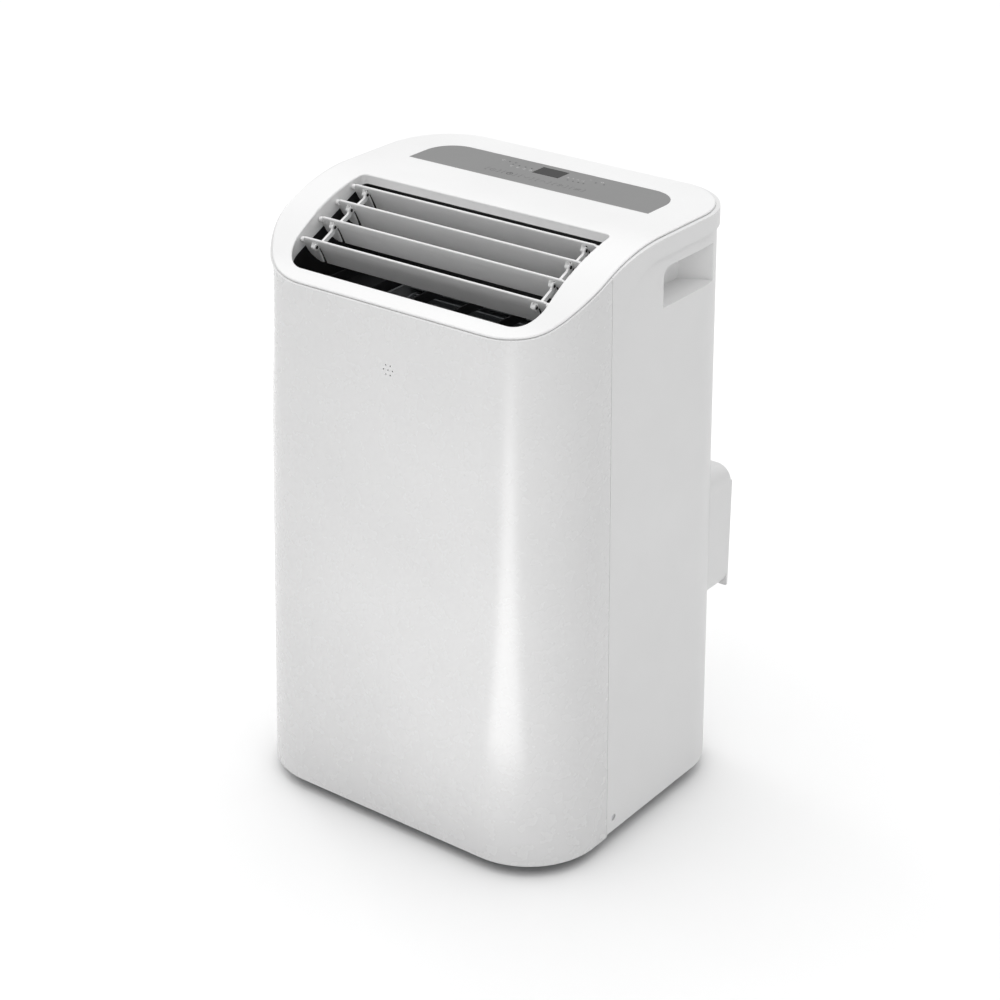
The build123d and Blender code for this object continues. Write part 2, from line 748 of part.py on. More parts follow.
def caster_fork(x, y):
    """Hood and stem of one caster; the axle lies behind the stem."""
    axle_y = y + caster_trail
    with BuildPart() as fork:
        with BuildSketch(Plane.XY.offset(fork_top_z - 4)):
            with Locations((x, y)):
                Circle(15)
        extrude(amount=4)
        with BuildSketch(Plane.XY.offset(fork_top_z - 4)):
            with Locations((x, y)):
                Circle(stem_radius)
        extrude(amount=stem_top_z - fork_top_z + 4)
        with BuildSketch(Plane.YZ.offset(x - wheel_gap / 2 + 1)):
            with BuildLine():
                Polyline((y - 12, fork_top_z - 2), (y + 12, fork_top_z - 2), (axle_y + 5.5, caster_wheel_radius),
                         (axle_y - 5.5, caster_wheel_radius), close=True)
            make_face()
            with Locations((axle_y, caster_wheel_radius)):
                Circle(5.5)
                Circle(2.5 + running_gap, mode=Mode.SUBTRACT)
        extrude(amount=wheel_gap - 2)
    return fork.part


def caster_wheel(x, y):
    """Twin wheels on their axle."""
    axle_y = y + caster_trail
    with BuildPart() as wheel:
        for start in (x - wheel_gap / 2 - wheel_width, x + wheel_gap / 2):
            with BuildSketch(Plane.YZ.offset(start)):
                with Locations((axle_y, caster_wheel_radius)):
                    Circle(caster_wheel_radius)
            extrude(amount=wheel_width)
        fillet(wheel.edges().filter_by(GeomType.CIRCLE), 2.0)
        with BuildSketch(Plane.YZ.offset(x - wheel_gap / 2 - 1)):
            with Locations((axle_y, caster_wheel_radius)):
                Circle(2.5)
        extrude(amount=wheel_gap + 2)
    return wheel.part


for name, (x, y) in zip(caster_names, caster_xy):
    save(caster_fork(x, y), f"caster_fork_{name}")
    save(caster_wheel(x, y), f"caster_wheel_{name}")

# ---------------------------------------------------------------- exhaust box, collar and duct
exhaust_wall = 2.5
rail_proud = 3.0
rail_top_z = 355.0
exhaust_middle = (sum(exhaust_x) / 2, sum(exhaust_z) / 2)
exhaust_size = (exhaust_x[1] - exhaust_x[0], exhaust_z[1] - exhaust_z[0])


def exhaust_outline(plane, shrink, top_radius, bottom_radius):
    """Outline of the exhaust box seen from behind."""
    with BuildSketch(plane) as outline:
        with Locations(exhaust_middle):
            Rectangle(exhaust_size[0] - 2 * shrink, exhaust_size[1] - 2 * shrink)
        fillet(outline.vertices().group_by(Axis.Z)[-1], top_radius)
        fillet(outline.vertices().group_by(Axis.Z)[0], bottom_radius)
    return outline.sketch


skin_cut = envelope(100, 500, -0.05)
box_face_y = exhaust_face_y - rail_proud
with BuildPart() as exhaust_box:
    with BuildSketch(Plane.XZ.offset(-box_face_y)):
        add(exhaust_outline(Plane.XZ, 0, 19, 8))
    extrude(amount=70)
    with BuildSketch(Plane.XZ.offset(-exhaust_face_y)):
        add(exhaust_outline(Plane.XZ, 0, 1, 8))
    extrude(amount=rail_proud)
    with BuildSketch(Plane.XZ.offset(-exhaust_face_y - 1)):
        with Locations((exhaust_middle[0], rail_top_z + 50)):
            Rectangle(300, 100)
        with Locations((exhaust_middle[0], exhaust_middle[1] + 8)):
            Rectangle(exhaust_size[0] - 12, exhaust_size[1] + 4)
    extrude(amount=rail_proud + 1, mode=Mode.SUBTRACT)
    with BuildSketch(Plane.XZ.offset(-(box_face_y - exhaust_wall))):
        add(exhaust_outline(Plane.XZ, exhaust_wall, 16.5, 5.5))
    extrude(amount=80, mode=Mode.SUBTRACT)
    with BuildSketch(Plane.XZ.offset(-box_face_y - 1)):
        with Locations(exhaust_port):
            Circle(port_radius + collar_wall + 0.1)
    extrude(amount=exhaust_wall + 2, mode=Mode.SUBTRACT)
    add(skin_cut, mode=Mode.SUBTRACT)
save(exhaust_box.part, "exhaust_box")

with BuildPart() as exhaust_collar:
    with BuildSketch(Plane.XZ.offset(-box_face_y)):
        with Locations(exhaust_port):
            Circle(port_radius + collar_wall)
            Circle(port_radius, mode=Mode.SUBTRACT)
    extrude(amount=collar_length)
save(exhaust_collar.part, "exhaust_collar")

duct_end_y = box_face_y - collar_length - 0.2
with BuildPart() as exhaust_duct:
    with BuildSketch(Plane.XZ.offset(-duct_end_y)):
        with Locations((exhaust_port[0], exhaust_port[1])):
            Rectangle(136, 140)
    extrude(amount=duct_end_y - 92)
    with BuildSketch(Plane.XZ.offset(-(duct_end_y - 2))):
        with Locations((exhaust_port[0], exhaust_port[1])):
            Rectangle(132, 136)
    extrude(amount=100, mode=Mode.SUBTRACT)
    with BuildSketch(Plane.XZ.offset(-duct_end_y - 1)):
        with Locations(exhaust_port):
            Circle(port_radius)
    extrude(amount=5, mode=Mode.SUBTRACT)
save(exhaust_duct.part, "exhaust_duct")

# the casing is open behind the exhaust box
with BuildPart() as rear_casing:
    add(rear_shell.part)
    with BuildSketch(Plane.XZ.offset(-200)):
        with Locations(exhaust_port):
            Circle(port_radius + collar_wall + 0.6)
    extrude(amount=60, mode=Mode.SUBTRACT)
    with BuildSketch(Plane.XZ.offset(-200)):
        with Locations(drain_xz):
            Circle(drain_radius + 6)
        with Locations(upper_drain_xz):
            Circle(drain_radius + 6)
        with Locations(gland_xz):
            Circle(gland_radius)
    extrude(amount=60, mode=Mode.SUBTRACT)
    for side in (1, -1):
        with BuildSketch(Plane.YZ):
            with Locations(side_screw_yz):
                Circle(side_screw_radius)
        extrude(amount=side * 260, mode=Mode.SUBTRACT)
save(rear_casing.part, "rear_casing")

# ---------------------------------------------------------------- drains and cord inlet


def drain_cap(x, z, face):
    """A push-in rubber cap with a pull tab."""
    with BuildPart() as cap:
        with BuildSketch(Plane.XZ.offset(-face)):
            with Locations((x, z)):
                Circle(drain_radius + 2.2)
        extrude(amount=-3)
        with BuildSketch(Plane.XZ.offset(-face)):
            with Locations((x, z)):
                Circle(drain_radius - running_gap)
        extrude(amount=10)
        with BuildSketch(Plane.XZ.offset(-face - 3)):
            with Locations((x, z)):
                RectangleRounded(10, 2.4, 1)
        extrude(amount=-2.4)
    return cap.part


upper_cap_face = rear_y(upper_drain_xz[1]) - 4
save(drain_cap(*drain_xz, lower_cap_face), "drain_cap_lower")
save(drain_cap(*upper_drain_xz, upper_cap_face), "drain_cap_upper")

with BuildPart() as cord_gland:
    gland_y = rear_y(gland_xz[1])
    with BuildSketch(Plane.XZ.offset(-(gland_y + 0.1))):
        with Locations(gland_xz):
            Circle(gland_radius + 3)
            Circle(4.0, mode=Mode.SUBTRACT)
    extrude(amount=-3)
    with BuildSketch(Plane.XZ.offset(-(gland_y + 0.1))):
        with Locations(gland_xz):
            Circle(gland_radius - 0.1)
            Circle(4.0, mode=Mode.SUBTRACT)
    extrude(amount=16)
save(cord_gland.part, "cord_gland")

# ---------------------------------------------------------------- frame posts and drip tray
post_xy = [(-204.0, -60.0), (204.0, -60.0), (-204.0, 50.0), (204.0, 50.0)]
with BuildPart() as chassis_posts:
    for x, y in post_xy:
        inward = -1 if x > 0 else 1
        with BuildSketch(Plane.XY.offset(tray_floor_z)):
            with Locations((x + inward * 7, y)):
                Rectangle(15.5, 1.5)
            with Locations((x, y + 7)):
                Rectangle(1.5, 15.5)
        extrude(amount=drip_tray_z - tray_floor_z)
save(chassis_posts.part, "chassis_posts")

with BuildPart() as drip_tray:
    with BuildSketch(Plane.XY.offset(drip_tray_z)):
        with Locations((0, -4)):
            RectangleRounded(398, 300, 60)
    extrude(amount=24)
    with BuildSketch(Plane.XY.offset(drip_tray_z + 2.5)):
        with Locations((0, -4)):
            RectangleRounded(393, 295, 57.5)
    extrude(amount=24, mode=Mode.SUBTRACT)
    with BuildSketch(Plane.XY.offset(drip_tray_z - 1)):
        with Locations(*pipe_hole_xy):
            Circle(9)
    extrude(amount=8, mode=Mode.SUBTRACT)
    with BuildSketch(Plane.XZ.offset(-(upper_cap_face))):
        with Locations(upper_drain_xz):
            Circle(drain_radius + 2)
    extrude(amount=35)
    with BuildSketch(Plane.XZ.offset(-(upper_cap_face + 1))):
        with Locations(upper_drain_xz):
            Circle(drain_radius)
    extrude(amount=42, mode=Mode.SUBTRACT)
save(drip_tray.part, "drip_tray")

# ---------------------------------------------------------------- blowers


def blower_wheel(plane, radius, width, blades, hub):
    """A forward-curved drum: disc, end ring, blades and hub."""
    with BuildPart() as wheel:
        with BuildSketch(plane):
            Circle(radius)
            Circle(hub, mode=Mode.SUBTRACT)
        extrude(amount=2.5)
        with BuildSketch(plane.offset(width - 2.5)):
            Circle(radius)
            Circle(radius - 13, mode=Mode.SUBTRACT)
        extrude(amount=2.5)
        with BuildSketch(plane):
            with PolarLocations(radius - 6.5, blades):
                with Locations(Location((0, 0), 28)):
                    Rectangle(12.5, 1.6)
        extrude(amount=width)
        with BuildSketch(plane):
            Circle(hub + 8)
            Circle(hub, mode=Mode.SUBTRACT)
        extrude(amount=24)
    return wheel.part


def blower_motor(plane, radius, length, shaft, shaft_length):
    """Motor can with its shaft pointing along the plane's normal."""
    with BuildPart() as motor:
        with BuildSketch(plane):
            Circle(radius)
        extrude(amount=-length)
        fillet(motor.edges().filter_by(GeomType.CIRCLE), 5)
        with BuildSketch(plane.offset(-2)):
            Circle(12)
        extrude(amount=6)
        with BuildSketch(plane):
            Circle(shaft)
        extrude(amount=shaft_length)
    return motor.part


def scroll(plane, radius, width, throat, throat_end, inlet):
    """Volute shell round a drum: throat is its two edges across and throat_end how far it reaches."""
    middle, span = sum(throat) / 2, throat[1] - throat[0]
    with BuildPart() as housing:
        for shrink, start, length, mode in ((0, 0, width, Mode.ADD), (2, 2, width - 4, Mode.SUBTRACT)):
            with BuildSketch(plane.offset(start)):
                Circle(radius - shrink)
                with Locations((middle, (throat_end + shrink) / 2)):
                    Rectangle(span - 2 * shrink, throat_end + shrink)
            extrude(amount=length, mode=mode)
        with BuildSketch(plane.offset(-1)):
            Circle(inlet)
        extrude(amount=width + 2, mode=Mode.SUBTRACT)
    return housing.part


evaporator_width = 2 * blower_half_width
evaporator_plane = Plane(origin=(-blower_half_width, blower_y, blower_z), x_dir=(0, 1, 0), z_dir=(1, 0, 0))
throat_span = (throat_y[0] - blower_y, throat_y[1] - blower_y)
save(scroll(evaporator_plane, 76, evaporator_width, throat_span, duct_floor_z - blower_z - 0.2, 50),
     "evaporator_scroll")
evaporator_drum = evaporator_plane.offset(8)
save(blower_wheel(evaporator_drum, blower_wheel_radius, evaporator_width - 16, 36, 5 + running_gap),
     "evaporator_wheel")
save(blower_motor(evaporator_plane.offset(-22), 38, 55, 5, 48), "evaporator_motor")

condenser_plane = Plane(origin=(92, 88, 200), x_dir=(1, 0, 0), z_dir=(0, -1, 0))
save(scroll(condenser_plane, 88, 72, (-38, 92), 172, 50), "condenser_scroll")
save(blower_wheel(condenser_plane.offset(6), 76, 58, 32, 5 + running_gap), "condenser_wheel")
motor_plane = Plane(origin=(92, 4, 200), x_dir=(1, 0, 0), z_dir=(0, 1, 0))
save(blower_motor(motor_plane, 38, 50, 5, 76), "condenser_motor")

# ---------------------------------------------------------------- coils


def coil(x_range, y_range, z_range, rows):
    """Finned block between two end plates, with the return bends of its tubes at the ends."""
    (x0, x1), (y0, y1), (z0, z1) = x_range, y_range, z_range
    middle, depth = (y0 + y1) / 2, y1 - y0
    pitch = (z1 - z0) / rows
    fins = int((x1 - x0 - 8) / 6)
    with BuildPart() as block:
        with BuildSketch(Plane.XY.offset(z0)):
            with Locations(((x0 + x1) / 2, middle)):
                Rectangle(x1 - x0, depth - 3)
                with GridLocations(6, 1, fins, 1):
                    Rectangle(1.0, depth)
            with Locations((x0 + 1, middle), (x1 - 1, middle)):
                Rectangle(2, depth + 8)
        extrude(amount=z1 - z0)
        for end, outwards in ((x0, -1), (x1, 1)):
            plane = Plane(origin=(end, middle, 0), x_dir=(outwards, 0, 0), z_dir=(0, -outwards, 0))
            for row in range(rows // 2):
                low = z0 + pitch * (2 * row + 0.5)
                with BuildSketch(Plane(origin=(end, middle, low + pitch / 2), x_dir=(outwards, 0, 0),
                                       z_dir=(0, 1, 0))):
                    SlotOverall(pitch + 8, 8, rotation=90)
                    Rectangle(30, 60, align=(Align.MAX, Align.CENTER), mode=Mode.SUBTRACT)
                extrude(amount=4, both=True)
    return block.part


save(coil((-160, 160), (108, 134), (398, 602), 8), "evaporator_coil")
save(coil((-170, 0), (118, 144), (84, 368), 12), "condenser_coil")

# ---------------------------------------------------------------- compressor and its mounting
compressor_xy = (-88.0, 0.0)
foot_radius = 72.0
with BuildPart() as compressor:
    with BuildSketch(Plane.XY.offset(44)):
        with Locations(compressor_xy):
            Circle(56)
    extrude(amount=190)
    fillet(compressor.edges().filter_by(GeomType.CIRCLE), 22)
    with BuildSketch(Plane.XY.offset(42)):
        with Locations(compressor_xy):
            RegularPolygon(96, 3, rotation=30)
    extrude(amount=4)
    corners = compressor.edges().filter_by(Axis.Z).group_by(SortBy.LENGTH)[0]
    fillet(corners, 14)
    with BuildSketch(Plane.XY.offset(232)):
        with Locations(compressor_xy):
            Circle(16)
    extrude(amount=12)
    with BuildSketch(Plane.XY.offset(90)):
        with Locations((compressor_xy[0] - 74, compressor_xy[1] + 6)):
            Circle(17)
    extrude(amount=110)
    with BuildSketch(Plane.XY.offset(130)):
        with Locations((compressor_xy[0] - 62, compressor_xy[1] + 6)):
            Rectangle(24, 8)
    extrude(amount=8)
    with BuildSketch(Plane.XY.offset(41)):
        with Locations(compressor_xy):
            with PolarLocations(foot_radius, 3, start_angle=30):
                Circle(5)
    extrude(amount=6, mode=Mode.SUBTRACT)
save(compressor.part, "compressor")

with BuildPart() as compressor_feet:
    with BuildSketch(Plane.XY.offset(tray_floor_z)):
        with Locations(compressor_xy):
            with PolarLocations(foot_radius, 3, start_angle=30):
                Circle(10)
    extrude(amount=42 - tray_floor_z)
    with BuildSketch(Plane.XY.offset(42)):
        with Locations(compressor_xy):
            with PolarLocations(foot_radius, 3, start_angle=30):
                Circle(4.8)
    extrude(amount=7)
save(compressor_feet.part, "compressor_feet")

# ---------------------------------------------------------------- refrigerant pipes


def pipe(points, bend, radius):
    """A bent tube through the points."""
    with BuildPart() as tube:
        with BuildLine() as route:
            FilletPolyline(*points, radius=bend)
        with BuildSketch(Plane(origin=route.line @ 0, z_dir=route.line % 0)):
            Circle(radius)
        sweep()
    return tube.part


discharge = [(compressor_xy[0], compressor_xy[1], 244.2), (compressor_xy[0], compressor_xy[1], 300),
             (compressor_xy[0], 70, 300), (compressor_xy[0], 70, 340), (compressor_xy[0], 112, 340)]
suction = [(compressor_xy[0] - 74, 6, 200.2), (compressor_xy[0] - 74, 6, 330), (pipe_hole_xy[0][0], 60, 360),
           (*pipe_hole_xy[0], 440), (pipe_hole_xy[0][0], 103, 440)]
with BuildPart() as refrigerant_pipes:
    add(pipe(discharge, 14, 4))
    add(pipe(suction, 12, 5))
save(refrigerant_pipes.part, "refrigerant_pipes")

# ---------------------------------------------------------------- electrical parts
with BuildPart() as electrical_box:
    with BuildSketch(Plane.XY.offset(420)):
        with Locations((172, -40)):
            Rectangle(50, 110)
    extrude(amount=120)
    with BuildSketch(Plane.XY.offset(422)):
        with Locations((172, -40)):
            Rectangle(46, 106)
    extrude(amount=120, mode=Mode.SUBTRACT)
save(electrical_box.part, "electrical_box")

with BuildPart() as run_capacitor:
    with BuildSketch(Plane.XY.offset(422)):
        with Locations((172, -60)):
            Circle(17)
    extrude(amount=62)
    with BuildSketch(Plane.XY.offset(484)):
        with Locations((172, -60)):
            with GridLocations(12, 1, 2, 1):
                Rectangle(1, 6)
    extrude(amount=8)
save(run_capacitor.part, "run_capacitor")

float_xy = (20.0, -120.0)
with BuildPart() as float_stem:
    with BuildSketch(Plane.XY.offset(tray_floor_z)):
        with Locations(float_xy):
            Circle(3)
    extrude(amount=45)
    with BuildSketch(Plane.XY.offset(tray_floor_z + 45)):
        with Locations(float_xy):
            Circle(6)
    extrude(amount=3)
save(float_stem.part, "float_stem")

with BuildPart() as float_ring:
    with BuildSketch(Plane.XY.offset(tray_floor_z + 8)):
        with Locations(float_xy):
            Circle(12)
            Circle(3.4, mode=Mode.SUBTRACT)
    extrude(amount=14)
save(float_ring.part, "float_ring")

# ---------------------------------------------------------------- casing screws
with BuildPart() as casing_screws:
    for side in (1, -1):
        inner = half_width(side_screw_yz[1]) - wall - 0.25
        with BuildSketch(Plane.YZ.offset(side * inner)):
            with Locations(side_screw_yz):
                Circle(side_screw_radius - 0.4)
        extrude(amount=side * 2)
        with BuildSketch(Plane.YZ.offset(side * inner)):
            with Locations(side_screw_yz):
                Circle(1.8)
        extrude(amount=side * -9)
save(casing_screws.part, "casing_screws")
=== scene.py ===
# %% [markdown]
# # A portable air conditioner: looks for a measured model
# The measured model arrives as a fixed frame of named pieces. This lesson gives each piece a
# finish, adds the printed and moulded detail that the measured pieces are too plain for, and
# lights the whole as a small studio would.

# %% Load the frame and keep its box
import json
import math

import bpy
import numpy as np
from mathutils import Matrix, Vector


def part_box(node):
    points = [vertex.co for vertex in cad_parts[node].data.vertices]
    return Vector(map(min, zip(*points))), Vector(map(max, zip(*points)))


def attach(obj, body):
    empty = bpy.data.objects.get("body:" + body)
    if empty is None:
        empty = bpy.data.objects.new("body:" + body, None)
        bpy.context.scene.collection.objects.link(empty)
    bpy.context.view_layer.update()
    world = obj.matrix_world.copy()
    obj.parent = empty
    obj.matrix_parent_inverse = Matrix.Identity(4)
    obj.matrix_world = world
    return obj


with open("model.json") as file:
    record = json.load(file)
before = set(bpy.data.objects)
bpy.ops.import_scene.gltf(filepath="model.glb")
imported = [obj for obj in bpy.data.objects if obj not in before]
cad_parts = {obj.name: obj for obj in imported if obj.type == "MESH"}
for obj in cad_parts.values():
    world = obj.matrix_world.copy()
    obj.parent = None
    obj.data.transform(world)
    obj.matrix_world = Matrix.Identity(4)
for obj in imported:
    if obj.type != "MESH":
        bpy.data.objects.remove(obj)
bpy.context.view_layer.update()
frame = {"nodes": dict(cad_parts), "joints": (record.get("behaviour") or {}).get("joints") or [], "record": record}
nodes = frame["nodes"]

# %% [markdown]
# ## Camera
# The unit is seen from its front right, a little above, through a long lens, which keeps its
# upright edges nearly parallel. The camera's place is given, and the way it faces is worked out
# from an azimuth and an elevation, which are easier to read than three turns.

# %% Camera
AZIMUTH, ELEVATION = math.radians(37.089), math.radians(26.202)
CAMERA_PLACE = Vector((1.4357, -1.8794, 1.5063))
BACKWARD = Vector((math.sin(AZIMUTH) * math.cos(ELEVATION),
                   -math.cos(AZIMUTH) * math.cos(ELEVATION), math.sin(ELEVATION)))
lens = bpy.data.cameras.new("studio_camera")
lens.sensor_width = 36.0
lens.lens = 83.82
camera = bpy.data.objects.new("studio_camera", lens)
camera.location = CAMERA_PLACE
camera.rotation_euler = (-BACKWARD).to_track_quat("-Z", "Y").to_euler()
bpy.context.scene.collection.objects.link(camera)
bpy.context.scene.camera = camera
print("camera at", [round(v, 3) for v in CAMERA_PLACE])

# %% [markdown]
# ## Studio
# White plastic shows its shape only by soft changes of grey, so the room is plain: a very soft
# overhead light whitens the floor and the deck, and an even grey world keeps the walls a step
# darker. A sun lamp with a wide angle does this, because it reaches every piece alike.


# %% Overhead light and world
def aim(thing, place, target):
    """Puts a lamp at place and turns its beam to target."""
    thing.location = place
    thing.rotation_euler = (Vector(target) - Vector(place)).to_track_quat("-Z", "Y").to_euler()
    bpy.context.scene.collection.objects.link(thing)


bpy.context.scene.view_settings.view_transform = "Standard"
world = bpy.data.worlds.new("studio_world")
world.use_nodes = True
backdrop = world.node_tree.nodes["Background"].inputs
backdrop["Color"].default_value = (1.0, 1.0, 1.0, 1.0)
backdrop["Strength"].default_value = 0.40
bpy.context.scene.world = world

overhead = bpy.data.lights.new("overhead", "SUN")
overhead.angle = math.radians(100)
overhead.energy = 2.3
aim(bpy.data.objects.new("overhead", overhead), (-0.15, 0.0, 2.0), (0, 0, 0))
print("overhead light", overhead.energy, "W per square metre")

# %% [markdown]
# ## Light panels
# Two long light panels give the upright gleams of the round front corners. A wall that is looked
# down on mirrors what lies low in front of it, so one panel lies just over the floor. The camera
# doesn't see the panels themselves.


# %% Two long panels
def light_panel(name, place, turn, size, radiance):
    """A rectangular lamp of one brightness: its power is brightness times pi times its area."""
    lamp = bpy.data.lights.new(name, "AREA")
    lamp.shape = "RECTANGLE"
    lamp.size, lamp.size_y = size
    lamp.energy = radiance * math.pi * size[0] * size[1]
    thing = bpy.data.objects.new(name, lamp)
    thing.location = place
    thing.rotation_euler = [math.radians(angle) for angle in turn]
    thing.visible_camera = False
    bpy.context.scene.collection.objects.link(thing)
    print(name, round(lamp.energy, 2), "W")


light_panel("front_panel_light", (0.22, -1.06, 0.012), (180, 0, 5), (0.30, 1.3), 2.7)
light_panel("left_panel_light", (-1.5, 0.5, 0.6), (90, 0, -70), (0.5, 1.2), 2.5)

# %% [markdown]
# ## Floor
# The unit stands on a pale sheet.

# %% Floor
FLOOR_HALF = 9.0
floor_mesh = bpy.data.meshes.new("studio_floor")
floor_mesh.from_pydata([(-FLOOR_HALF, -FLOOR_HALF, 0), (FLOOR_HALF, -FLOOR_HALF, 0),
                        (FLOOR_HALF, FLOOR_HALF, 0), (-FLOOR_HALF, FLOOR_HALF, 0)],
                       [], [(0, 1, 2, 3)])
floor = bpy.data.objects.new("studio_floor", floor_mesh)
bpy.context.scene.collection.objects.link(floor)
print("floor", 2 * FLOOR_HALF, "m square")

# %% [markdown]
# ## Patterns that every finish shares
# No real surface has one flat tone. A few small helpers make the patterns: noise on object
# coordinates, a stretch of that noise over a range of numbers or of colours, and a relief. They
# stay small so that each finish below reads as a short recipe.


# %% Material helpers
def new_material(name):
    """An empty node material with its principled shader."""
    material = bpy.data.materials.new(name)
    material.use_nodes = True
    return material, material.node_tree, material.node_tree.nodes["Principled BSDF"]


def noise(tree, scale, detail=2.0):
    """Noise on object coordinates; scale is in cycles per metre."""
    where = tree.nodes.new("ShaderNodeTexCoord")
    pattern = tree.nodes.new("ShaderNodeTexNoise")
    pattern.inputs["Scale"].default_value = scale
    pattern.inputs["Detail"].default_value = detail
    tree.links.new(where.outputs["Object"], pattern.inputs["Vector"])
    return pattern.outputs["Fac"]


def ramp(tree, value, low, high):
    """Maps a 0..1 value onto a range of numbers between low and high."""
    spread = tree.nodes.new("ShaderNodeMapRange")
    spread.inputs["To Min"].default_value = low
    spread.inputs["To Max"].default_value = high
    tree.links.new(value, spread.inputs["Value"])
    return spread.outputs["Result"]


def tint(tree, value, dark, light):
    """Colour that runs from dark to light with value."""
    blend = tree.nodes.new("ShaderNodeValToRGB")
    blend.color_ramp.elements[0].position = 0.3
    blend.color_ramp.elements[1].position = 0.7
    blend.color_ramp.elements[0].color = (*dark, 1)
    blend.color_ramp.elements[1].color = (*light, 1)
    tree.links.new(value, blend.inputs["Fac"])
    return blend.outputs["Color"]


def add_bump(tree, shader, heights, strength, distance):
    """Surface relief from a height pattern; distance is the relief's depth in metres."""
    relief = tree.nodes.new("ShaderNodeBump")
    relief.inputs["Strength"].default_value = strength
    relief.inputs["Distance"].default_value = distance
    tree.links.new(heights, relief.inputs["Height"])
    tree.links.new(relief.outputs["Normal"], shader.inputs["Normal"])


# %% [markdown]
# ## Moulded plastic
# Injection-moulded plastic gets its look from the tool. The tool leaves a fine spark-eroded
# grain, the wall thickness makes very slow changes of tone, and handling polishes it unevenly.
# Each of these is a noise pattern at its own scale, and the front panel, which is the glossiest
# piece, has the shallowest grain.

# %% A moulded finish
TONE_SCALE, POLISH_SCALE = 7.0, 60.0
POLISH_SPREAD = 0.04
GRAIN_STRENGTH = 0.25


def moulded(name, colour, roughness, grain=2600.0, depth=0.00004, variation=0.02, gloss=0.5):
    """Moulded plastic: slow tone changes, uneven polish and a fine eroded grain."""
    material, tree, shader = new_material(name)
    dark = [max(0.0, c * (1 - variation)) for c in colour]
    light = [min(1.0, c * (1 + variation)) for c in colour]
    tree.links.new(tint(tree, noise(tree, TONE_SCALE, 3.0), dark, light),
                   shader.inputs["Base Color"])
    tree.links.new(ramp(tree, noise(tree, POLISH_SCALE), roughness - POLISH_SPREAD,
                        roughness + POLISH_SPREAD), shader.inputs["Roughness"])
    add_bump(tree, shader, noise(tree, grain, 1.0), GRAIN_STRENGTH, depth)
    shader.inputs["Specular IOR Level"].default_value = gloss
    return material


# %% The plastics, rubbers and paints
# The casing and the front panel are the same white plastic as the cover, but their whites are set darker (0.74 and
# 0.68 against 0.86): painted shade on the upright sides and front, which face away from the overhead light.
white_front_painted_shade = moulded("white_front_painted_shade", (0.68, 0.68, 0.68), 0.27, depth=0.000004, gloss=1.0)
white_cover = moulded("white_cover", (0.86, 0.86, 0.86), 0.40)
white_louver = moulded("white_louver", (0.84, 0.84, 0.84), 0.42)
# Darker white on the casing is painted shade for the sides.
white_casing_painted_shade = moulded("white_casing_painted_shade", (0.74, 0.74, 0.74), 0.42)
black_duct = moulded("black_duct", (0.012, 0.012, 0.013), 0.55)
grey_tray = moulded("grey_tray", (0.30, 0.31, 0.32), 0.5)
grey_wheel = moulded("grey_wheel", (0.16, 0.17, 0.18), 0.5)
black_caster = moulded("black_caster", (0.05, 0.05, 0.052), 0.5)
tread = moulded("caster_tread", (0.04, 0.04, 0.042), 0.6)
black_rubber = moulded("black_rubber", (0.025, 0.025, 0.025), 0.75, grain=900.0)
foam_white = moulded("foam_white", (0.75, 0.75, 0.72), 0.85, grain=500.0, depth=0.0003)
filter_mesh = moulded("filter_mesh", (0.10, 0.11, 0.12), 0.7, grain=700.0, depth=0.0003)
board_green = moulded("board_green", (0.02, 0.17, 0.07), 0.35)
black_paint = moulded("black_paint", (0.015, 0.015, 0.016), 0.3)
print("moulded finishes", len(bpy.data.materials))

# %% [markdown]
# ## Metals
# Inside are rolled sheet, drawn tube and aluminium fins. All show fine streaks along the way they
# were drawn. Stretching one noise pattern along an axis gives the streaks, and the same pattern
# changes both the tone and the roughness, as a real streak does.

# %% A metal finish
STREAK_DARKENING = 0.9
STREAK_SPREAD = 0.06


def metal(name, colour, roughness, stretch=(1.0, 1.0, 1.0), grain=400.0):
    """Drawn or rolled metal: fine streaks along one axis vary its tone and roughness."""
    material, tree, shader = new_material(name)
    where = tree.nodes.new("ShaderNodeTexCoord")
    turn = tree.nodes.new("ShaderNodeMapping")
    turn.inputs["Scale"].default_value = stretch
    streaks = tree.nodes.new("ShaderNodeTexNoise")
    streaks.inputs["Scale"].default_value = grain
    tree.links.new(where.outputs["Object"], turn.inputs["Vector"])
    tree.links.new(turn.outputs["Vector"], streaks.inputs["Vector"])
    dark = [c * STREAK_DARKENING for c in colour]
    tree.links.new(tint(tree, streaks.outputs["Fac"], dark, colour), shader.inputs["Base Color"])
    tree.links.new(ramp(tree, streaks.outputs["Fac"], roughness - STREAK_SPREAD,
                        roughness + STREAK_SPREAD), shader.inputs["Roughness"])
    shader.inputs["Metallic"].default_value = 1.0
    return material


zinc = metal("zinc_steel", (0.6, 0.61, 0.62), 0.35, (1, 1, 0.05))
steel = metal("bright_steel", (0.58, 0.58, 0.6), 0.28)
fins = metal("coil_fins", (0.75, 0.76, 0.78), 0.4, (1, 1, 0.1))
copper = metal("copper_tube", (0.72, 0.34, 0.2), 0.3)
print("finishes so far", len(bpy.data.materials))

# %% [markdown]
# ## Control strip and window
# The strip is a printed silver film, which is smooth but not glossy, so it has a much finer grain
# than the mouldings. The display sits behind a smoked window, which is nearly black and has no
# grain at all.

# %% Strip and window finishes
silver_print = moulded("silver_print", (0.24, 0.24, 0.24), 0.36, grain=5000.0, depth=0.00002)
smoked = moulded("smoked_window", (0.02, 0.02, 0.02), 0.18, depth=0.0)
print("strip and window ready")
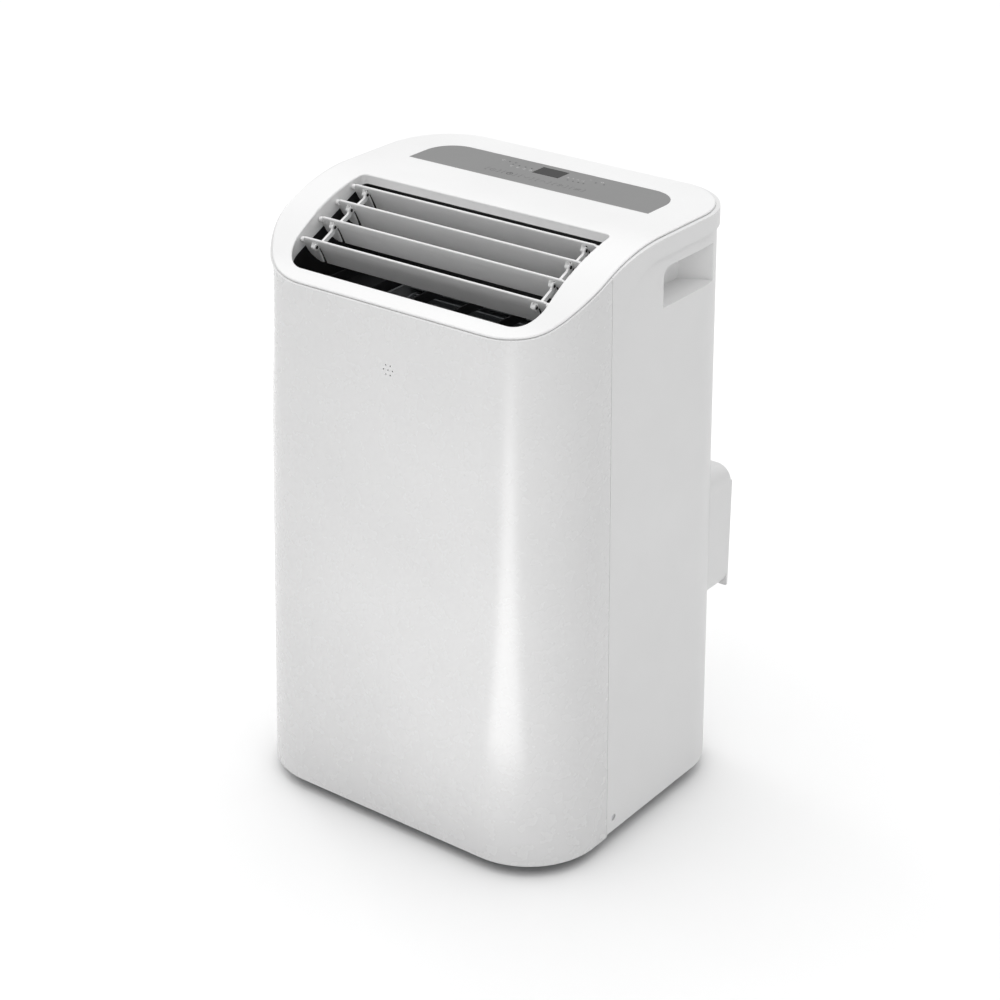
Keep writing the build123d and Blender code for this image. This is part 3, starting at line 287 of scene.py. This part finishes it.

# %% [markdown]
# ## Dressing the measured pieces
# The frame says which material slot each measured piece uses, so one table turns slots into
# finishes and a loop dresses every piece. The front panel shares its slot with the casing, but
# the real one is polished and the casing is not, so it has a finish of its own; that finish is also a darker
# white, which is painted shade on the front.

# %% Which finish each measured piece takes
FINISH = {
    "casing_white": white_casing_painted_shade, "cover_white": white_cover, "louver_white": white_louver,
    "duct_black": black_duct, "overlay_silver": silver_print, "display_black": smoked,
    "board_green": board_green, "filter_grey": filter_mesh, "tray_grey": grey_tray,
    "sheet_steel": zinc, "wheel_grey": grey_wheel, "motor_steel": steel,
    "coil_aluminium": fins, "compressor_black": black_paint, "copper": copper,
    "rubber_black": black_rubber, "float_white": foam_white, "screw_steel": steel,
    "caster_grey": black_caster, "caster_rubber": tread,
}
for subpart in frame["record"]["subparts"]:
    piece = nodes[subpart["node"]]
    finish = FINISH[subpart["material_slot"]]
    # The front panel's darker white is painted shade.
    if subpart["node"] == "front_panel":
        finish = white_front_painted_shade
    piece.data.materials.clear()
    piece.data.materials.append(finish)

# %% [markdown]
# ## Dressing the floor
# The sheet under the unit is matt and nearly white. Very slow noise moves its tone by a hair, so
# that it doesn't look like a plain fill.

# %% Floor finish
floor_material, floor_tree, floor_shader = new_material("studio_floor")
floor_tree.links.new(tint(floor_tree, noise(floor_tree, 2.0), (0.92, 0.92, 0.92),
                          (0.94, 0.94, 0.94)), floor_shader.inputs["Base Color"])
floor_shader.inputs["Roughness"].default_value = 0.8
floor.data.materials.append(floor_material)
print("floor finish", floor_material.name)

# %% [markdown]
# ## Printed marks on the control strip
# The strip carries ink only: six touch keys between small brackets, and rows of tiny icons beside
# small lamps. Ink lies a few hundredths of a millimetre proud, so each mark is a real thin
# ribbon. That keeps its edges sharp at any distance, which a painted pattern can't promise.

# %% Heights on the strip
INK_SINK, INK_HEIGHT = 0.00005, 0.00012
strip_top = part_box("control_overlay")[1][2]
ink_base = strip_top - INK_SINK
print("strip top at", round(strip_top, 5))

# %% [markdown]
# ## A ribbon of ink
# A drawn line is a path with a width, like a pen stroke. Carrying a small four-cornered section
# along the path gives a closed, raised ribbon, and closing both ends makes it a real solid.

# %% Thin ribbons
SECTION_CORNERS = 4


def ribbon(points, width):
    """A raised line of ink: each point moves half the width to either side along the path's
    normal, which is its direction turned a quarter; the two sides are then lifted by the height."""
    path = np.asarray(points, float)
    along = np.gradient(path, axis=0)
    along /= np.linalg.norm(along, axis=1, keepdims=True)
    aside = np.stack([-along[:, 1], along[:, 0]], axis=1) * width / 2
    left, right = path + aside, path - aside
    low = np.full((len(path), 1), ink_base)
    high = low + INK_HEIGHT
    rings = np.stack([np.hstack([left, low]), np.hstack([left, high]),
                      np.hstack([right, high]), np.hstack([right, low])], axis=1)
    step, side = np.meshgrid(np.arange(len(path) - 1), np.arange(SECTION_CORNERS), indexing="ij")
    here = step * SECTION_CORNERS
    there = here + SECTION_CORNERS
    after = (side + 1) % SECTION_CORNERS
    quads = np.stack([here + side, here + after, there + after, there + side], axis=-1)
    last = SECTION_CORNERS * (len(path) - 1)
    ends = np.array([[3, 2, 1, 0], [last, last + 1, last + 2, last + 3]])
    return rings.reshape(-1, 3), np.vstack([quads.reshape(-1, SECTION_CORNERS), ends])


def arc(centre, radius, start, stop, count=17):
    """Points on a circle: centre plus radius times cosine and sine, angles in degrees."""
    angle = np.radians(np.linspace(start, stop, count))
    return np.asarray(centre) + radius * np.stack([np.cos(angle), np.sin(angle)], axis=1)


# %% [markdown]
# ## From strokes to a printed piece
# One key has a handful of strokes, and all the keys are printed in one pass of the same ink. So
# the strokes are gathered into one mesh for each ink, which keeps the list of pieces short.

# %% Joining strokes into one printed piece
def printed(name, strokes, material):
    """Joins strokes (points, width) into one mesh that rides on the cabinet: each stroke's faces
    count on from the corners that came before it."""
    corners, faces, count = [], [], 0
    for points, width in strokes:
        stroke_corners, stroke_faces = ribbon(points, width)
        corners.append(stroke_corners)
        faces.append(stroke_faces + count)
        count += len(stroke_corners)
    mesh = bpy.data.meshes.new(name)
    mesh.from_pydata(np.vstack(corners).tolist(), [], np.vstack(faces).tolist())
    mesh.validate()
    piece = bpy.data.objects.new(name, mesh)
    piece.data.materials.append(material)
    bpy.context.scene.collection.objects.link(piece)
    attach(piece, "cabinet")
    print(name, len(mesh.polygons), "faces")


# %% [markdown]
# ## Inks
# Three inks are enough: a grey for the keys, a near black for what has to stand out, and a light
# one for the small icons. They use the recipe for plastic with the finest grain, because dried
# ink is as smooth as the film under it.

# %% Ink finishes
key_ink = moulded("key_ink", (0.13, 0.13, 0.13), 0.5, grain=5000.0, depth=0.00001)
dark_ink = moulded("dark_ink", (0.045, 0.045, 0.045), 0.35, grain=5000.0, depth=0.00001)
light_ink = moulded("light_ink", (0.62, 0.62, 0.62), 0.5, grain=5000.0, depth=0.00001)
print("ink finishes", key_ink.name, dark_ink.name, light_ink.name)

# %% [markdown]
# ## Touch keys
# Six keys stand in one even row, each between two brackets that show where to touch. Their icons
# are the plain ones that many appliances share: power, timer, down, up, fan and swing. Each is a
# few strokes of one line width, and only the timer is printed heavier.

# %% Where the keys are, and their brackets
KEY_Y = 0.0836
KEY_X = np.linspace(-0.058, 0.056, 6)
LINE, HEAVY_LINE = 0.0005, 0.0009
BRACKET_REACH, BRACKET_RISE, BRACKET_FOOT = 0.0085, 0.0042, 0.0018
power_x, timer_x, down_x, up_x, fan_x, swing_x = KEY_X


def bracket(x, side):
    """A square bracket about a key: foot, upright, foot; side is -1 for left and 1 for right."""
    tip = x + side * BRACKET_REACH
    foot = tip - side * BRACKET_FOOT
    top, bottom = KEY_Y + BRACKET_RISE, KEY_Y - BRACKET_RISE
    return [(foot, top), (tip, top), (tip, bottom), (foot, bottom)], LINE


key_strokes = [bracket(x, side) for x in KEY_X for side in (-1, 1)]
print("keys at", [round(float(x), 4) for x in KEY_X])

# %% Key icons
RING_RADIUS = 0.0034
ICON_HALF = 0.0036
WING_RISE, TIP_DROP = 0.0018, 0.002
BLADE_REACH, BLADE_RADIUS = 0.0019, 0.0016
WAVE_HEIGHT, WAVE_PITCH = 0.0008, 0.0022


def chevron(x, sense):
    """An arrow head: two wings and a tip; sense is 1 to point down and -1 to point up."""
    wing_y, tip_y = KEY_Y + sense * WING_RISE, KEY_Y - sense * TIP_DROP
    return [(x - ICON_HALF, wing_y), (x, tip_y), (x + ICON_HALF, wing_y)], LINE


def fan_blade(x, turn):
    """One blade of a fan: an open arc about a hub that is moved out from the key's centre."""
    way = math.radians(turn)
    hub = (x + BLADE_REACH * math.cos(way), KEY_Y + BLADE_REACH * math.sin(way))
    return arc(hub, BLADE_RADIUS, turn - 100, turn + 170, 11), LINE


def wave(x, lift):
    """A line of moving air: one full sine across the icon's width, lifted by lift."""
    sweep = np.linspace(-ICON_HALF, ICON_HALF, 15)
    swell = WAVE_HEIGHT * np.sin(sweep / ICON_HALF * math.pi)
    return np.stack([x + sweep, KEY_Y + lift + swell], axis=1), LINE


key_strokes += [(arc((power_x, KEY_Y), RING_RADIUS, 120, 420), LINE),
                ([(power_x, KEY_Y), (power_x, KEY_Y + BRACKET_RISE)], LINE)]
key_strokes += [chevron(down_x, 1), chevron(up_x, -1)]
key_strokes += [fan_blade(fan_x, turn) for turn in (0, 120, 240)]
key_strokes += [wave(swing_x, lift) for lift in (-WAVE_PITCH, 0.0, WAVE_PITCH)]
printed("key_marks", key_strokes, key_ink)

HAND_RISE, HAND_REACH = 0.0022, 0.0016
clock_hands = [(timer_x, KEY_Y + HAND_RISE), (timer_x, KEY_Y), (timer_x + HAND_REACH, KEY_Y)]
printed("timer_key_mark", [(arc((timer_x, KEY_Y), RING_RADIUS, 0, 360, 25), HEAVY_LINE),
                           (clock_hands, HEAVY_LINE)], dark_ink)

# %% [markdown]
# ## Lamps and their small icons
# Behind the keys are rows of lamps, evenly spaced within each row, with a small icon by each to
# say what it stands for. An unlit lamp shows as a dark square on the film. A row needs only its
# first place, its spacing and its count, so that is all that is written down.

# %% Lamps
LAMP_HALF = 0.0009


def lamp_row(first_x, y, pitch, count, fall=0.0):
    """Places in a row: each is one pitch to the right of the last, and lower by the fall."""
    place = np.arange(count)
    return np.stack([first_x + pitch * place, y - fall * place], axis=1)


lamps = np.vstack([lamp_row(-0.0601, 0.1176, 0.0086, 2, 0.0003),
                   lamp_row(-0.0512, 0.1118, 0.0086, 4),
                   lamp_row(0.0292, 0.1034, 0.0070, 4),
                   lamp_row(0.0594, 0.1136, 0.0108, 2)])
printed("lamps", [([(x - LAMP_HALF, y), (x + LAMP_HALF, y)], 2 * LAMP_HALF) for x, y in lamps],
        dark_ink)

# %% Lamp icons
SMALL_RADIUS = 0.0014
PEAK_SHIFT = 0.0009
SMALL_LOW, SMALL_HIGH = 0.1095, 0.1118
ROW_ICON_Y = 0.1058
HOOK_PLACE, HOOK_RADIUS = (-0.0686, 0.1178), 0.0016
DASH = [(0.0484, 0.1183), (0.0510, 0.1183)]
RING_PLACE = (0.0644, 0.1190)
small_icons = [(arc((x, ROW_ICON_Y), SMALL_RADIUS, 90 * index, 90 * index + 300, 13), LINE)
               for index, x in enumerate(np.linspace(-0.0487, -0.0233, 4))]
small_icons += [([(x - SMALL_RADIUS, SMALL_LOW), (x - SMALL_RADIUS + PEAK_SHIFT * index, SMALL_HIGH),
                  (x + SMALL_RADIUS, SMALL_LOW)], LINE)
                for index, x in enumerate(np.linspace(0.025, 0.0445, 4))]
small_icons += [(arc(HOOK_PLACE, HOOK_RADIUS, 0, 300, 13), LINE), (DASH, LINE),
                (arc(RING_PLACE, SMALL_RADIUS, 0, 360, 13), LINE)]
printed("lamp_icons", small_icons, light_ink)

# %% [markdown]
# ## Link pin caps
# The bar that makes the louvres turn together hangs on a dark pin in every louvre. A low dome
# closes each pin. It is a surface of revolution about the pin's axis, with its rim tucked into
# the bar's eye, and it rides on the louvre because the pin does.

# %% Domed caps
SIDES = 24
DOME_ROWS = 7
CROWN_START = 0.15
CAP_RADIUS, CAP_RISE, CAP_SKIRT = 0.0019, 0.0008, 0.0006


def caps(name, body, centres, material):
    """Domes facing +X: height above the rim is the rise times the cosine of a quarter turn, while
    the distance from the axis is the radius times its sine, and a short skirt goes back inwards."""
    quarter = np.linspace(CROWN_START, math.pi / 2, DOME_ROWS)
    out = np.concatenate([CAP_RADIUS * np.sin(quarter), [CAP_RADIUS]])[:, None]
    lift = np.concatenate([CAP_RISE * np.cos(quarter), [-CAP_SKIRT]])[:, None]
    around = np.linspace(0, 2 * math.pi, SIDES, endpoint=False)
    dome = np.stack([lift + 0 * around, out * np.cos(around), out * np.sin(around)], axis=-1)
    dome = dome.reshape(-1, 3)
    spin = np.arange(SIDES)
    row, side = np.meshgrid(np.arange(DOME_ROWS) * SIDES, spin, indexing="ij")
    after = (side + 1) % SIDES
    walls = np.stack([row + side, row + SIDES + side, row + SIDES + after, row + after], axis=-1)
    walls = walls.reshape(-1, 4)
    crown, back = spin[None, :], (len(dome) - 1 - spin)[None, :]
    faces = []
    for first in np.arange(len(centres)) * len(dome):
        faces += (walls + first).tolist() + (crown + first).tolist() + (back + first).tolist()
    corners = (np.asarray(centres)[:, None, :] + dome[None, :, :]).reshape(-1, 3)
    mesh = bpy.data.meshes.new(name)
    mesh.from_pydata(corners.tolist(), [], faces)
    mesh.polygons.foreach_set("use_smooth", np.ones(len(mesh.polygons), bool))
    piece = bpy.data.objects.new(name, mesh)
    piece.data.materials.append(material)
    bpy.context.scene.collection.objects.link(piece)
    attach(piece, body)
    print(name, len(mesh.polygons), "faces")


# %% [markdown]
# ## Where the link pins are
# The frame knows every hinge. The pin of louvre 1 is the hinge of the link bar itself, and all
# four louvres are alike, so the same step from a louvre's own hinge leads to its pin. Each pin
# ends a little beyond its bar, towards the right.

# %% Caps at the link pins on both sides
PIN_PROUD = 0.0003
hinges = {joint["child"]: np.array(joint["pos_m"]) for joint in frame["joints"]
          if "pos_m" in joint}
hinge_to_pin = (hinges["link_left"] - hinges["louver_1"])[1:]
bar_faces = [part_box("link_bar_" + side)[1][0] for side in ("right", "left")]
for number in (1, 2, 3, 4):
    louver = "louver_%d" % number
    y, z = hinges[louver][1:] + hinge_to_pin
    caps("pin_caps_%d" % number, louver, [(face + PIN_PROUD, y, z) for face in bar_faces], smoked)
    print("link pin", number, "at", round(float(y), 5), round(float(z), 5))
